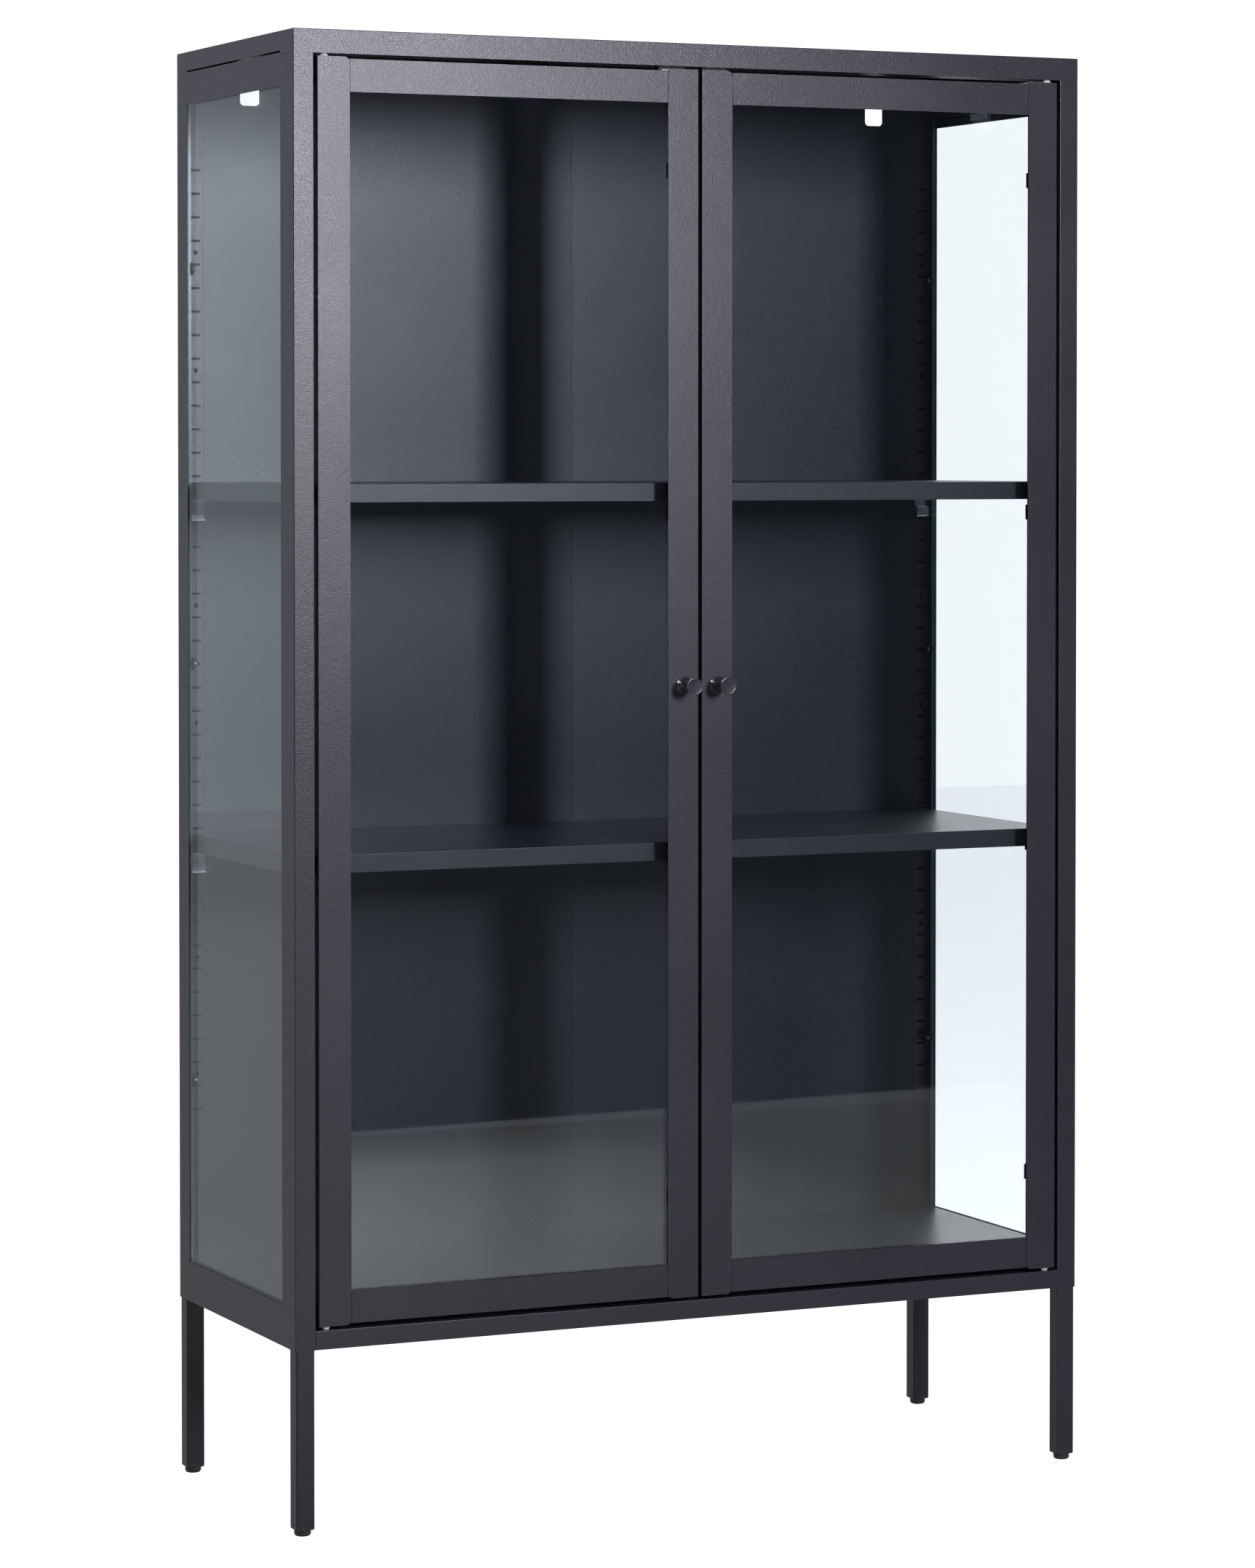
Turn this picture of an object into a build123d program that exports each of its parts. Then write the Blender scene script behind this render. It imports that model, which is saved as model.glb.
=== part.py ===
from build123d import *
import math
import os

# A display cabinet in folded, powder-coated sheet steel: two framed glass doors, glass sides, two
# loose shelves on clips and four tube legs. Sizes are millimetres. The origin is on the floor,
# midway across the width and midway between the cabinet's back and the faces of its knobs.
# +Z is up, and the doors face -Y. Every left-hand piece is built once and mirrored to the right.

# ---- overall ----
width = 900.0
depth = 350.0            # face of the doors to the back of the posts
height = 1515.0
leg_height = 188.0       # floor to the underside of the body
sheet = 1.0              # thickness of the folded steel
fold = 0.9               # outer radius of a folded edge, under the sheet's thickness
seam = 0.5               # width of the hairline where two painted faces meet
seam_depth = 0.5

# ---- top, posts and rails ----
top_rim = 24.0           # the top panel's skirt at the front, the back and the corners
side_rim = 20.0          # its skirt between the posts
front_return = 30.0      # the skirt's folded-in foot, measured from the front face
rear_return = 24.0
corner_seam = 12.5       # radius of the curved seam at the skirt's front right corner
side_return = 16.0
post_face = 22.0
post_tube = 20.0         # front-to-back size of a post's tube
front_lip = 17.0         # how far the front post's lip runs past its tube, on the side face
rear_lip = 12.0
rail_gap = 2.0           # shadow line between a side rail and the top panel
top_rail_face = 33.5
bottom_rail_face = 42.0
rail_depth = 6.0         # side face to the inner face of a side rail's tube
rail_cover = 10.0        # how far a side rail's lip covers the glass
rail_flange = 10.0       # the top rail's inward flange, which takes the top screws
foot_plate = 3.0         # plate in a post's lower end
top_screw_inset = 15.0   # post's lip to the nearest screw in the top rail
floor_screw_inset = 45.0
floor_screws = 3

# ---- floor ----
front_rail = 19.5        # height of the rail under the doors
stop_gap = 4.5           # back of a closed door to the riser, clear of the stile's corner as it turns
return_fold = 15.0

# ---- shelf slots ----
slot_drop = 124.0        # top of the cabinet to the first slot
slot_pitch = 25.0
slot_floor = 160.0       # no slot is nearer to the floor panel than this
slot_width = 10.0
slot_height = 2.5
slot_inset = 13.5        # side face to the middle of a slot
bolt_hole = 2.5          # radius of the round holes between the slots
bolt_hole_step = 5       # slots from one round hole to the next
bolt_hole_first = 3.5    # slots from the first slot to the first round hole

# ---- glass ----
glass = 4.0
glass_gap = 1.0          # clearance at a pane's edges
clip_offset = 7.5        # post tube to the middle of a glass clip
clip_radius = 7.3
clip_disc = 2.5
clip_stem = 2.2
clip_bore = 1.6
clip_stud = 1.5
clip_round = 0.8         # rounding of a clip's disc and of its nut
clip_nut = 3.2
clip_nut_height = 2.4
clip_from_top = 173.5    # top of the window to the highest clip
clip_from_foot = 193.0
clip_lift = 22.0         # middle of the window to the middle clip
pad_length = 38.0
pad_height = 14.0
pad_middle = 210.0       # front face to the middle of a pad

# ---- doors ----
door_depth = 16.0
side_gap = 3.5
meeting_gap = 3.5
top_gap = 3.0
bottom_gap = 3.5
door_frame = 35.0        # face width of the stiles and rails
glass_lip = 8.0          # the part of that face that laps the glass
lip_radius = 6.0         # rounded ends of a stile's lip
rail_drop = 2.0          # a rail's outer edge sits this far inside the stiles' ends
end_plate = 3.0
seal = 1.0
seal_margin = 1.0
tab_sheet = 1.2
tab_width = 16.0
tab_margin = 105.0
tabs_per_stile = 4

# ---- pivots ----
pivot_side = 9.5         # door edge to the pivot's axis
pivot_back = 7.0         # door face to the pivot's axis
pin_radius = 2.0
pin_running = 0.05       # radial clearance between a pin and its bush
pin_in_door = 22.0
pin_in_body = 6.0
bush_radius = 3.4
bush_flare = 5.0         # radius of the bush's collar at the door
bush_body = 3.0
bush_gap = 0.3           # bush to door
press_gap = 0.02         # pressed and screwed fits are drawn with this clearance

# ---- knobs ----
knob_reach = 28.0
knob_base = 9.3
knob_base_rim = 2.6
knob_neck = 4.9
knob_cap = 8.9
knob_cap_rim = 2.4
knob_waist = 16.8        # door's face to the knob's thinnest place
knob_thread = 12.0
screw_radius = 2.0
screw_head = 3.8
screw_head_height = 2.2
screw_head_round = 1.1
screw_clearance = 0.2

# ---- catches and bumpers ----
catch_length = 30.0
catch_height = 10.0
catch_depth = 11.5
catch_centre = 25.0      # middle of the cabinet to the middle of a catch
strike_plate = 0.8
magnet_gap = 0.2
magnet_proud = 0.3
magnet_length = 22.0
magnet_height = 6.0
bumper_radius = 4.0
bumper_round = 1.4
bumper_inset = 60.0

# ---- shelves ----
shelf_side_gap = 9.0     # cabinet's side face to the shelf's end
shelf_front_gap = 5.0    # post tube to the shelf's front edge
shelf_back_gap = 3.0
shelf_lip = 19.0
shelf_fold = 12.0
upper_shelf_share = 0.34 # share of the slots above each shelf
lower_shelf_share = 0.71
ledge_width = 16.0
ledge_reach = 12.0
ledge_sheet = 1.2
hook_width = 9.0
hook_drop = 4.0
clip_web = 23.0
clip_plate = 12.0
clip_plate_reach = 6.0

# ---- back ----
panel_gap = 0.3
panel_pan = 18.0         # front-to-back size of a back panel's folded edge
cutout_width = 22.0
cutout_height = 25.0
cutout_radius = 4.5
cutout_drop = 54.0       # top of the cabinet to the foot of a cut-out
cutout_inset = 75.0
back_screws_per_edge = 5
back_screw_margin = 90.0

# ---- legs and feet ----
leg_size = post_tube     # a leg's square tube is as deep as a post
leg_inset = 1.0
leg_wall = 1.5
leg_radius = 2.5
leg_plate = 3.0
stud_radius = 4.0
stud_up = 12.0
stud_down = 12.0
foot_pad = 6.5
foot_pad_radius = 8.6
foot_pad_round = 3.0
foot_flange = 3.0
foot_flange_round = 1.5
foot_plug = 14.0
foot_plug_gap = 0.2

# ---- places worked out from the sizes above ----
left = -width / 2
right = width / 2
front = (knob_reach - depth) / 2
back = front + depth
middle = (front + back) / 2
rim_foot = height - top_rim
side_rim_foot = height - side_rim
rail_top = side_rim_foot - rail_gap
window_top = rail_top - top_rail_face
floor_top = leg_height + bottom_rail_face
ledge_top = leg_height + front_rail
tube_back = front + post_tube
strip_face = back - post_tube
between_lips = (tube_back + front_lip, strip_face - rear_lip)
door_left = left + post_face + side_gap
door_right = -meeting_gap / 2
door_top = rim_foot - top_gap
door_bottom = ledge_top + bottom_gap
door_back = front + door_depth
riser_face = door_back + stop_gap
tube_width = door_frame - glass_lip
pivot = (door_left + pivot_side, front + pivot_back)
first_slot = height - slot_drop
slot_count = int((first_slot - floor_top - slot_floor) / slot_pitch) + 1
upper_shelf_slot = round(slot_count * upper_shelf_share)
lower_shelf_slot = round(slot_count * lower_shelf_share)
window_middle = (floor_top + window_top) / 2
clip_heights = [window_top - clip_from_top, window_middle + clip_lift, floor_top + clip_from_foot]
leg_middle = (left + leg_inset + leg_size / 2, front + leg_size / 2)
knob_place = (door_right - door_frame / 2, (door_top + door_bottom) / 2)
tube_top = rail_top - rail_gap
tube_foot = window_top + rail_cover
sill_top = floor_top - rail_cover


# ---- tools ----

def block(x, y, z):
    """A box between a low and a high value on each axis."""
    size = (x[1] - x[0], y[1] - y[0], z[1] - z[0])
    place = ((x[0] + x[1]) / 2, (y[0] + y[1]) / 2, (z[0] + z[1]) / 2)
    return Pos(*place) * Box(*size)


def rod(radius, start, end):
    """A round bar from one point to another."""
    line = Vector(*end) - Vector(*start)
    up = (Align.CENTER, Align.CENTER, Align.MIN)
    return Plane(origin=start, z_dir=line) * Cylinder(radius, line.length, align=up)


def soften(shape, along, corners, radius):
    """Rounds the edges parallel to one axis that pass through the given corners."""
    axis = {"X": Axis.X, "Y": Axis.Y, "Z": Axis.Z}[along]
    others = [name for name in "XYZ" if name != along]
    picked = []
    for edge in shape.edges().filter_by(axis):
        centre = edge.center()
        place = [getattr(centre, name) for name in others]
        if any(math.dist(place, corner) < 0.01 for corner in corners):
            picked.append(edge)
    return fillet(picked, radius)


def mirrored(shape):
    """The right-hand copy of a left-hand piece."""
    return mirror(shape, about=Plane.YZ)


def turned_back(shape):
    """The rear copy of a piece built at the front."""
    return mirror(shape, about=Plane(origin=(0, middle, 0), z_dir=(0, 1, 0)))


def slot_level(number):
    """The height of a slot, counted down from the first."""
    return first_slot - number * slot_pitch


def spread(low, high, count, margin):
    """Evenly spaced places between two ends, kept back from both by a margin."""
    step = (high - low - 2 * margin) / (count - 1)
    return [low + margin + step * number for number in range(count)]


# ---- body ----

def top_panel():
    """A shallow tray, open below, whose skirt folds in at its foot."""
    tray = block((left, right), (front, back), (rim_foot, height))
    tray = soften(tray, "Z", [(left, front), (right, front), (left, back), (right, back)], fold)
    tray = fillet(tray.faces().sort_by(Axis.Z)[-1].edges(), fold)
    inside_x = (left + sheet, right - sheet)
    tray -= block(inside_x, (front + sheet, back - sheet), (rim_foot, height - sheet))
    tray -= block((left, left + sheet), between_lips, (rim_foot, side_rim_foot))
    tray -= block((right - sheet, right), between_lips, (rim_foot, side_rim_foot))
    foot = (rim_foot, rim_foot + sheet)
    tray += block(inside_x, (front + sheet, front + front_return), foot)
    tray += block(inside_x, (back - rear_return, back - sheet), foot)
    side_foot = (side_rim_foot, side_rim_foot + sheet)
    tray += block((left + sheet, left + side_return), between_lips, side_foot)
    tray += block((right - side_return, right - sheet), between_lips, side_foot)
    x, y = pivot
    bush_hole = rod(bush_radius + press_gap, (x, y, rim_foot - sheet), (x, y, rim_foot + 2 * sheet))
    holes = [bush_hole, mirrored(bush_hole)]
    for x, y in top_screw_places():
        low, high = (x, y, side_rim_foot - sheet), (x, y, height - 2 * sheet)
        holes.append(rod(screw_radius + press_gap, low, high))
    return tray - holes - curved_seam()


def curved_seam():
    """A quarter-round groove in the skirt, where its front right corner was folded and closed."""
    x, z = right - corner_seam, height - corner_seam
    start, end = (x, front - sheet, z), (x, front + seam_depth, z)
    ring = rod(corner_seam, start, end) - rod(corner_seam - seam, start, end)
    return ring & block((x, right), (front - sheet, front + seam_depth), (z, height))


def top_screw_places():
    """Two screws in each side rail's flange."""
    inset = left + rail_depth + rail_flange / 2
    places = []
    for y in (between_lips[0] + top_screw_inset, between_lips[1] - top_screw_inset):
        places += [(inset, y), (-inset, y)]
    return places


def slot_cuts():
    """Every slot and round hole of one front post, as cutters through its rear face."""
    wall = (tube_back - 1.5 * sheet, tube_back + 0.5 * sheet)
    x = left + slot_inset
    cuts = []
    for number in range(slot_count):
        z = slot_level(number)
        across = (x - slot_width / 2, x + slot_width / 2)
        cuts.append(block(across, wall, (z - slot_height / 2, z + slot_height / 2)))
    number = bolt_hole_first
    while number < slot_count:
        z = slot_level(number)
        cuts.append(rod(bolt_hole, (x, wall[0], z), (x, wall[1], z)))
        number += bolt_hole_step
    return cuts


def post(lip):
    """The front left post: a slotted tube, a lip along the side glass and studs for its clips."""
    across = (left, left + post_face)
    tall = (leg_height, rim_foot)
    shape = block(across, (front, tube_back), tall)
    shape = soften(shape, "Z", [(left, front), (left + post_face, front)], fold)
    hollow_x = (left + sheet, left + post_face - sheet)
    hollow_z = (leg_height + foot_plate, rim_foot - sheet)
    shape -= block(hollow_x, (front + sheet, tube_back - sheet), hollow_z)
    shape += block((left, left + sheet), (tube_back, tube_back + lip), tall)
    x, y = leg_middle
    low, high = (x, y, leg_height - sheet), (x, y, leg_height + 2 * foot_plate)
    shape = shape - rod(stud_radius + press_gap, low, high) - slot_cuts()
    hairline = (rim_foot - seam, rim_foot)
    shape -= block((left, left + seam_depth), (front, tube_back + lip), hairline)
    shape -= block(across, (front, front + seam_depth), hairline)
    stud_y = tube_back + clip_offset
    stud_end = left + sheet + glass + clip_disc + clip_nut_height
    for z in clip_heights:
        shape += rod(clip_stud, (left + sheet, stud_y, z), (stud_end, stud_y, z))
    return shape


def front_post():
    return post(front_lip)


def rear_post():
    """A post with the narrower lip, and holes for the back panel's screws."""
    shape = turned_back(post(rear_lip))
    x = left + post_face
    y = back - panel_pan / 2
    holes = []
    for z in back_screw_heights():
        holes.append(rod(screw_radius + press_gap, (x - 2 * sheet, y, z), (x + sheet, y, z)))
    return shape - holes


def side_top_rail():
    """A flat tube between the posts, faced by a plate that laps the glass."""
    tube_x = (left + sheet, left + rail_depth)
    rail = block(tube_x, (tube_back, strip_face), (tube_foot, tube_top))
    hollow_x = (tube_x[0] + sheet, tube_x[1] - sheet)
    rail -= block(hollow_x, (tube_back, strip_face), (tube_foot + sheet, tube_top - sheet))
    rail += block((left, left + sheet), between_lips, (window_top, rail_top))
    flange_x = (left + rail_depth, left + rail_depth + rail_flange)
    rail += block(flange_x, between_lips, (tube_top - sheet, tube_top))
    holes = []
    for x, y in top_screw_places():
        if x < 0:
            low, high = (x, y, tube_top - 2 * sheet), (x, y, tube_top + sheet)
            holes.append(rod(screw_radius + screw_clearance, low, high))
    return rail - holes


def side_bottom_rail():
    """The same tube and face plate under the side glass."""
    tube_x = (left + sheet, left + rail_depth)
    rail = block(tube_x, (tube_back, strip_face), (leg_height, sill_top))
    hollow_x = (tube_x[0] + sheet, tube_x[1] - sheet)
    rail -= block(hollow_x, (tube_back, strip_face), (leg_height + sheet, sill_top - sheet))
    rail += block((left, left + sheet), between_lips, (leg_height, floor_top))
    holes = []
    for y, z in floor_screw_places():
        start, end = (left + 2 * sheet, y, z), (left + rail_depth + sheet, y, z)
        holes.append(rod(screw_radius + press_gap, start, end))
    return rail - holes


def floor_screw_places():
    """The screws along each side of the floor panel."""
    z = (leg_height + sill_top) / 2
    return [(y, z) for y in spread(tube_back, strip_face, floor_screws, floor_screw_inset)]


def floor_panel():
    """The cabinet's floor, with the ledge and riser behind the doors and the rail below them."""
    long = (left + post_face, right - post_face)
    shape = block(long, (front, riser_face + sheet), (leg_height, ledge_top))
    shape = soften(shape, "X", [(front, ledge_top), (front, leg_height)], fold)
    shape -= block(long, (front + sheet, riser_face + sheet), (leg_height + sheet, ledge_top - sheet))
    shape -= block(long, (front + return_fold, riser_face + sheet), (leg_height, leg_height + sheet))
    shape += block(long, (riser_face, riser_face + sheet), (ledge_top - sheet, floor_top))
    plate = (floor_top - sheet, floor_top)
    shape += block(long, (riser_face, back), plate)
    shape += block(long, (back - sheet, back), (leg_height, floor_top))
    shape += block(long, (back - return_fold, back), (leg_height, leg_height + sheet))
    wing = (left + rail_depth, left + post_face)
    wing_y = (tube_back, strip_face)
    flange = (left + rail_depth, left + rail_depth + sheet)
    for make in (lambda piece: piece, mirrored):
        shape += make(block(wing, wing_y, plate))
        shape += make(block(flange, wing_y, (leg_height, floor_top)))
    holes = []
    x, y = pivot
    low, high = (x, y, ledge_top - 2 * sheet), (x, y, ledge_top + sheet)
    bush_hole = rod(bush_radius + press_gap, low, high)
    holes += [bush_hole, mirrored(bush_hole)]
    for y, z in floor_screw_places():
        start, end = (flange[0] - sheet, y, z), (flange[1] + sheet, y, z)
        hole = rod(screw_radius + screw_clearance, start, end)
        holes += [hole, mirrored(hole)]
    return shape - holes


def side_glass():
    """The left pane, held against the lips of the posts and rails."""
    edge = clip_offset + clip_stem + panel_gap
    tall = (sill_top + glass_gap, tube_foot - glass_gap)
    pane = (left + sheet, left + sheet + glass)
    return block(pane, (tube_back + edge, strip_face - edge), tall)


def glass_clip(y, z):
    """A plastic disc on a stem, bored for its stud."""
    start = left + sheet
    face = start + glass
    clip = rod(clip_stem, (start, y, z), (face, y, z))
    disc = rod(clip_radius, (face, y, z), (face + clip_disc, y, z))
    disc = fillet(disc.faces().sort_by(Axis.X)[-1].edges(), clip_round)
    return clip + disc - rod(clip_bore, (start, y, z), (face + clip_disc, y, z))


def clip_places():
    rows = (tube_back + clip_offset, strip_face - clip_offset)
    return [(y, z) for z in clip_heights for y in rows]


def glass_clips():
    return Compound(children=[glass_clip(y, z) for y, z in clip_places()])


def glass_clip_nuts():
    """Dome nuts on the clip studs, both sides of the cabinet."""
    nuts = []
    start = left + sheet + glass + clip_disc
    for y, z in clip_places():
        nut = rod(clip_nut, (start, y, z), (start + clip_nut_height, y, z))
        nut = fillet(nut.faces().sort_by(Axis.X)[-1].edges(), clip_round)
        nut -= rod(clip_stud + press_gap, (start, y, z), (start + clip_nut_height, y, z))
        nuts += [nut, mirrored(nut)]
    return Compound(children=nuts)


def glass_top_pads():
    """A clear pad between each side pane's top edge and its rail."""
    low = left + sheet + glass
    y = front + pad_middle
    tall = (tube_foot - pad_height / 2, tube_foot)
    pad = block((low, low + sheet), (y - pad_length / 2, y + pad_length / 2), tall)
    return Compound(children=[pad, mirrored(pad)])


# ---- back ----

def back_screw_heights():
    return spread(floor_top, rim_foot, back_screws_per_edge, back_screw_margin)


def back_panel():
    """The left half of the back, a pan folded away from the shelves, with one cut-out."""
    across = (left + post_face + panel_gap, -panel_gap / 2)
    tall = (floor_top, rim_foot)
    pan = block(across, (strip_face, strip_face + panel_pan), tall)
    inside_x = (across[0] + sheet, across[1] - sheet)
    inside_y = (strip_face + sheet, strip_face + panel_pan)
    pan -= block(inside_x, inside_y, (tall[0] + sheet, tall[1] - sheet))
    x = left + cutout_inset
    foot = height - cutout_drop
    window = block(
        (x - cutout_width / 2, x + cutout_width / 2),
        (strip_face - sheet, strip_face + 2 * sheet),
        (foot, foot + cutout_height),
    )
    pan -= fillet(window.edges().filter_by(Axis.Y), cutout_radius)
    y = back - panel_pan / 2
    holes = []
    for z in back_screw_heights():
        for x in (across[0] + sheet / 2, across[1] - sheet / 2):
            holes.append(rod(screw_radius + screw_clearance, (x - sheet, y, z), (x + sheet, y, z)))
    return pan - holes


def screw(place, direction, length):
    """A round-headed screw. The place is the underside of its head."""
    start = Vector(*place)
    line = Vector(*direction)
    head = rod(screw_head, tuple(start - line * screw_head_height), tuple(start))
    rims = head.edges().filter_by(GeomType.CIRCLE).sort_by(Axis(place, direction))
    head = fillet(rims[0], screw_head_round)
    return head + rod(screw_radius, tuple(start), tuple(start + line * length))


def back_screws():
    """Screws from each panel's outer edge into the rear post."""
    screws = []
    x = left + post_face + panel_gap + sheet
    for z in back_screw_heights():
        piece = screw((x, back - panel_pan / 2, z), (-1, 0, 0), panel_gap + 3 * sheet)
        screws += [piece, mirrored(piece)]
    return Compound(children=screws)


def seam_screws():
    """Screws and nuts that join the two back panels at the middle."""
    pieces = []
    y = back - panel_pan / 2
    face = panel_gap / 2 + sheet
    for z in back_screw_heights():
        pieces.append(screw((face, y, z), (-1, 0, 0), 2 * face + clip_nut_height))
        nut = rod(screw_head, (-face - clip_nut_height, y, z), (-face, y, z))
        nut -= rod(screw_radius + press_gap, (-face - clip_nut_height, y, z), (-face, y, z))
        pieces.append(nut)
    return Compound(children=pieces)


def body_screws():
    """Screws up through the side rails into the top panel, and from under the floor into the rails."""
    length = side_rim_foot - tube_top + 3 * sheet
    screws = [screw((x, y, tube_top - sheet), (0, 0, 1), length) for x, y in top_screw_places()]
    for y, z in floor_screw_places():
        piece = screw((left + rail_depth + sheet, y, z), (-1, 0, 0), 4 * sheet)
        screws += [piece, mirrored(piece)]
    return Compound(children=screws)


# ---- legs ----

def leg():
    """The front left leg: a square tube with a tapped plate in its upper end."""
    x, y = leg_middle
    half = leg_size / 2
    foot = foot_pad + foot_flange
    tube = block((x - half, x + half), (y - half, y + half), (foot, leg_height))
    tube = fillet(tube.edges().filter_by(Axis.Z), leg_radius)
    inner = half - leg_wall
    bore = block((x - inner, x + inner), (y - inner, y + inner), (foot, leg_height - leg_plate))
    bore = fillet(bore.edges().filter_by(Axis.Z), leg_radius - leg_wall)
    low, high = (x, y, leg_height - 2 * leg_plate), (x, y, leg_height + sheet)
    return tube - bore - rod(stud_radius + press_gap, low, high)


def foot():
    """The glide in a leg's lower end: a plug, a flange and a domed pad."""
    x, y = leg_middle
    half = leg_size / 2
    top = foot_pad + foot_flange
    pad = rod(foot_pad_radius, (x, y, 0), (x, y, foot_pad))
    pad = fillet(pad.edges().filter_by(GeomType.CIRCLE).sort_by(Axis.Z)[0], foot_pad_round)
    flange = block((x - half, x + half), (y - half, y + half), (foot_pad, top))
    flange = fillet(flange.edges().filter_by(Axis.Z), leg_radius)
    flange = fillet(flange.faces().sort_by(Axis.Z)[0].edges(), foot_flange_round)
    inner = half - leg_wall - foot_plug_gap
    plug = block((x - inner, x + inner), (y - inner, y + inner), (top, top + foot_plug))
    plug = fillet(plug.edges().filter_by(Axis.Z), leg_radius - leg_wall)
    return pad + flange + plug


def corners(piece):
    """A front left piece and its copies at the other three corners, by name."""
    rear = turned_back(piece)
    return {
        "front_left": piece,
        "front_right": mirrored(piece),
        "rear_left": rear,
        "rear_right": mirrored(rear),
    }


def leg_studs():
    """The threaded studs that join the legs to the posts."""
    x, y = leg_middle
    stud = rod(stud_radius, (x, y, leg_height - stud_down), (x, y, leg_height + stud_up))
    stud = chamfer(stud.edges().filter_by(GeomType.CIRCLE), sheet / 2)
    return Compound(children=list(corners(stud).values()))


# ---- doors ----

def outer_stile():
    """The left door's hinge stile: a tube with a lip over the glass and a pin hole in each end."""
    x, y = pivot
    stile = stile_bar(door_left, 1)
    reach = pin_in_door + sheet
    holes = [rod(pin_radius + press_gap, (x, y, door_top - reach), (x, y, door_top + sheet))]
    holes.append(rod(pin_radius + press_gap, (x, y, door_bottom - sheet), (x, y, door_bottom + reach)))
    return stile - holes


def stile_bar(edge, way):
    """A stile from its outer edge inwards. Way is 1 when the glass lies towards +X."""
    tube = sorted((edge, edge + way * tube_width))
    stile = block(tube, (front, door_back), (door_bottom, door_top))
    stile = soften(stile, "Z", [(edge, front), (edge, door_back)], fold)
    hollow = sorted((edge + way * sheet, edge + way * (tube_width - sheet)))
    hollow_z = (door_bottom + end_plate, door_top - end_plate)
    stile -= block(hollow, (front + sheet, door_back - sheet), hollow_z)
    lip = block(
        sorted((edge + way * tube_width, edge + way * door_frame)),
        (front, front + sheet),
        (door_bottom, door_top),
    )
    outer = edge + way * door_frame
    return stile + soften(lip, "Y", [(outer, door_bottom), (outer, door_top)], lip_radius)


def inner_stile():
    """The left door's meeting stile, drilled for the knob's screw."""
    x, z = knob_place
    hole = rod(screw_radius + screw_clearance, (x, front - sheet, z), (x, door_back + sheet, z))
    return stile_bar(door_right, -1) - hole


def door_rail(outer, inner):
    """A rail between the stiles, from its outer edge to the glass. Its tube runs behind their lips."""
    face_x = (door_left + door_frame + seam, door_right - door_frame - seam)
    tube_x = (door_left + tube_width, door_right - tube_width)
    way = 1 if inner > outer else -1
    tube_edge = inner - way * glass_lip
    tube_z = sorted((outer, tube_edge))
    tube_y = (front + sheet, door_back)
    rail = block(tube_x, tube_y, tube_z)
    hollow_z = sorted((outer + way * sheet, tube_edge - way * sheet))
    rail -= block(tube_x, (tube_y[0] + sheet, tube_y[1] - sheet), hollow_z)
    return rail + block(face_x, (front, front + sheet), sorted((outer, inner)))


def door_top_rail():
    return door_rail(door_top - rail_drop, door_top - door_frame)


def door_bottom_rail():
    return door_rail(door_bottom + rail_drop, door_bottom + door_frame)


def pane_edges(margin):
    """The pane's x and z limits inside the door's tubes, less a margin."""
    across = (door_left + tube_width + margin, door_right - tube_width - margin)
    tall = (door_bottom + tube_width + margin, door_top - tube_width - margin)
    return across, tall


def door_glass():
    across, tall = pane_edges(glass_gap)
    return block(across, (front + sheet + seal, front + sheet + seal + glass), tall)


def door_seal():
    """A flat rubber frame between the door's lips and its glass."""
    across, tall = pane_edges(glass_gap)
    y = (front + sheet, front + sheet + seal)
    inner = glass_lip - seal_margin
    inside_x, inside_z = pane_edges(inner)
    return block(across, y, tall) - block(inside_x, y, inside_z)


def door_glass_tabs():
    """Bent tabs on the stiles that hold the glass from behind."""
    behind = front + sheet + seal + glass
    edges = (door_left + tube_width, door_right - tube_width)
    tabs = []
    for edge, way in zip(edges, (1, -1)):
        for z in spread(door_bottom, door_top, tabs_per_stile, tab_margin):
            tall = (z - tab_width / 2, z + tab_width / 2)
            leg_x = sorted((edge, edge + way * tab_sheet))
            hold_x = sorted((edge, edge + way * (glass_lip - seal_margin)))
            tab = block(leg_x, (behind, door_back - sheet), tall)
            tabs.append(tab + block(hold_x, (behind, behind + tab_sheet), tall))
    return Compound(children=tabs)


def door_pins():
    """The left door's two pivot pins."""
    x, y = pivot
    upper = rod(pin_radius, (x, y, door_top - pin_in_door), (x, y, rim_foot + pin_in_body))
    lower = rod(pin_radius, (x, y, ledge_top - pin_in_body), (x, y, door_bottom + pin_in_door))
    upper = chamfer(upper.edges().filter_by(GeomType.CIRCLE).sort_by(Axis.Z)[-1], sheet / 2)
    lower = chamfer(lower.edges().filter_by(GeomType.CIRCLE).sort_by(Axis.Z)[0], sheet / 2)
    return Compound(children=[upper, lower])


def bush(face, way):
    """A flared nylon bush in the sheet whose face looks along way at the door."""
    x, y = pivot
    gap = top_gap if way < 0 else bottom_gap
    low = face - way * bush_body
    high = face + way * (gap - bush_gap)
    body = rod(bush_radius, (x, y, low), (x, y, face))
    outline = Polyline((0, face), (bush_radius, face), (bush_flare, high), (0, high), close=True)
    collar = revolve(Plane.XZ * make_face(outline), Axis.Z)
    collar = Pos(x, y, 0) * collar
    return body + collar - rod(pin_radius + pin_running, (x, y, low - way), (x, y, high + way))


def pivot_bushes():
    upper = bush(rim_foot, -1)
    lower = bush(ledge_top, 1)
    return Compound(children=[upper, lower, mirrored(upper), mirrored(lower)])


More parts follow.
